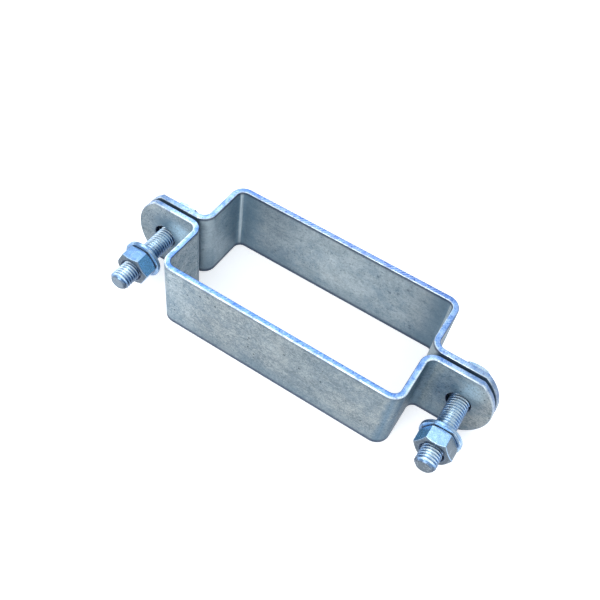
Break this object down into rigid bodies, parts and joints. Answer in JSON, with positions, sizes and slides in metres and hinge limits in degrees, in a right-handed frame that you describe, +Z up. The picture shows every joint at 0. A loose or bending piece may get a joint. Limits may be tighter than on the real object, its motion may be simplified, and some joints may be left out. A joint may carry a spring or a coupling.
{
  "type": "post clamp",
  "caption": "Bent flat-steel halves that close round a rectangular sign post and are drawn together by hexagon bolts, washers and nuts through their lugs.",
  "frame": {"origin": "centre of the post opening, at the lower edges of the strips", "axes": "+X along the long side of the post, +Y across it towards the bolt heads, +Z up along the post"},
  "size_m": [0.197, 0.0739, 0.04],
  "materials": {
    "galvanised_strip": "matte hot-dip galvanised",
    "zinc_bolt": "bright zinc plated",
    "zinc_washer": "bright zinc plated",
    "zinc_nut": "bright zinc plated"
  },
  "bodies": {
    "rear_half": {"rear_half": "galvanised_strip"},
    "front_half": {"front_half": "galvanised_strip"},
    "left_bolt": {"left_bolt": "zinc_bolt"},
    "right_bolt": {"right_bolt": "zinc_bolt"},
    "left_washer": {"left_washer": "zinc_washer"},
    "right_washer": {"right_washer": "zinc_washer"},
    "left_nut": {"left_nut": "zinc_nut"},
    "right_nut": {"right_nut": "zinc_nut"}
  },
  "joints": [
    {"name": "halves_close", "type": "slide", "parent": "rear_half", "child": "front_half", "axis": [0, 1, 0], "range_m": [0, 0.00175]},
    {"name": "left_bolt_slide", "type": "slide", "parent": "rear_half", "child": "left_bolt", "axis": [0, -1, 0], "range_m": [0, 0.00515]},
    {"name": "right_bolt_slide", "type": "slide", "parent": "rear_half", "child": "right_bolt", "axis": [0, -1, 0], "range_m": [0, 0.00515]},
    {"name": "left_washer_slide", "type": "slide", "parent": "left_bolt", "child": "left_washer", "axis": [0, 1, 0], "range_m": [-0.0098, 0.0167]},
    {"name": "left_nut_spin", "type": "hinge", "parent": "left_washer", "child": "left_nut", "pos_m": [-0.08195, -0.0269, 0.01925], "axis": [0, 1, 0], "range_deg": [-2340, 3990]},
    {"name": "right_washer_slide", "type": "slide", "parent": "right_bolt", "child": "right_washer", "axis": [0, 1, 0], "range_m": [-0.008, 0.0185]},
    {"name": "right_nut_spin", "type": "hinge", "parent": "right_washer", "child": "right_nut", "pos_m": [0.08305, -0.0287, 0.01925], "axis": [0, 1, 0], "range_deg": [-1910, 4420]}
  ],
  "couplings": [
    {"joint": "left_washer_slide", "follows": "left_nut_spin", "m_per_rad": 0.00023873},
    {"joint": "right_washer_slide", "follows": "right_nut_spin", "m_per_rad": 0.00023873}
  ]
}
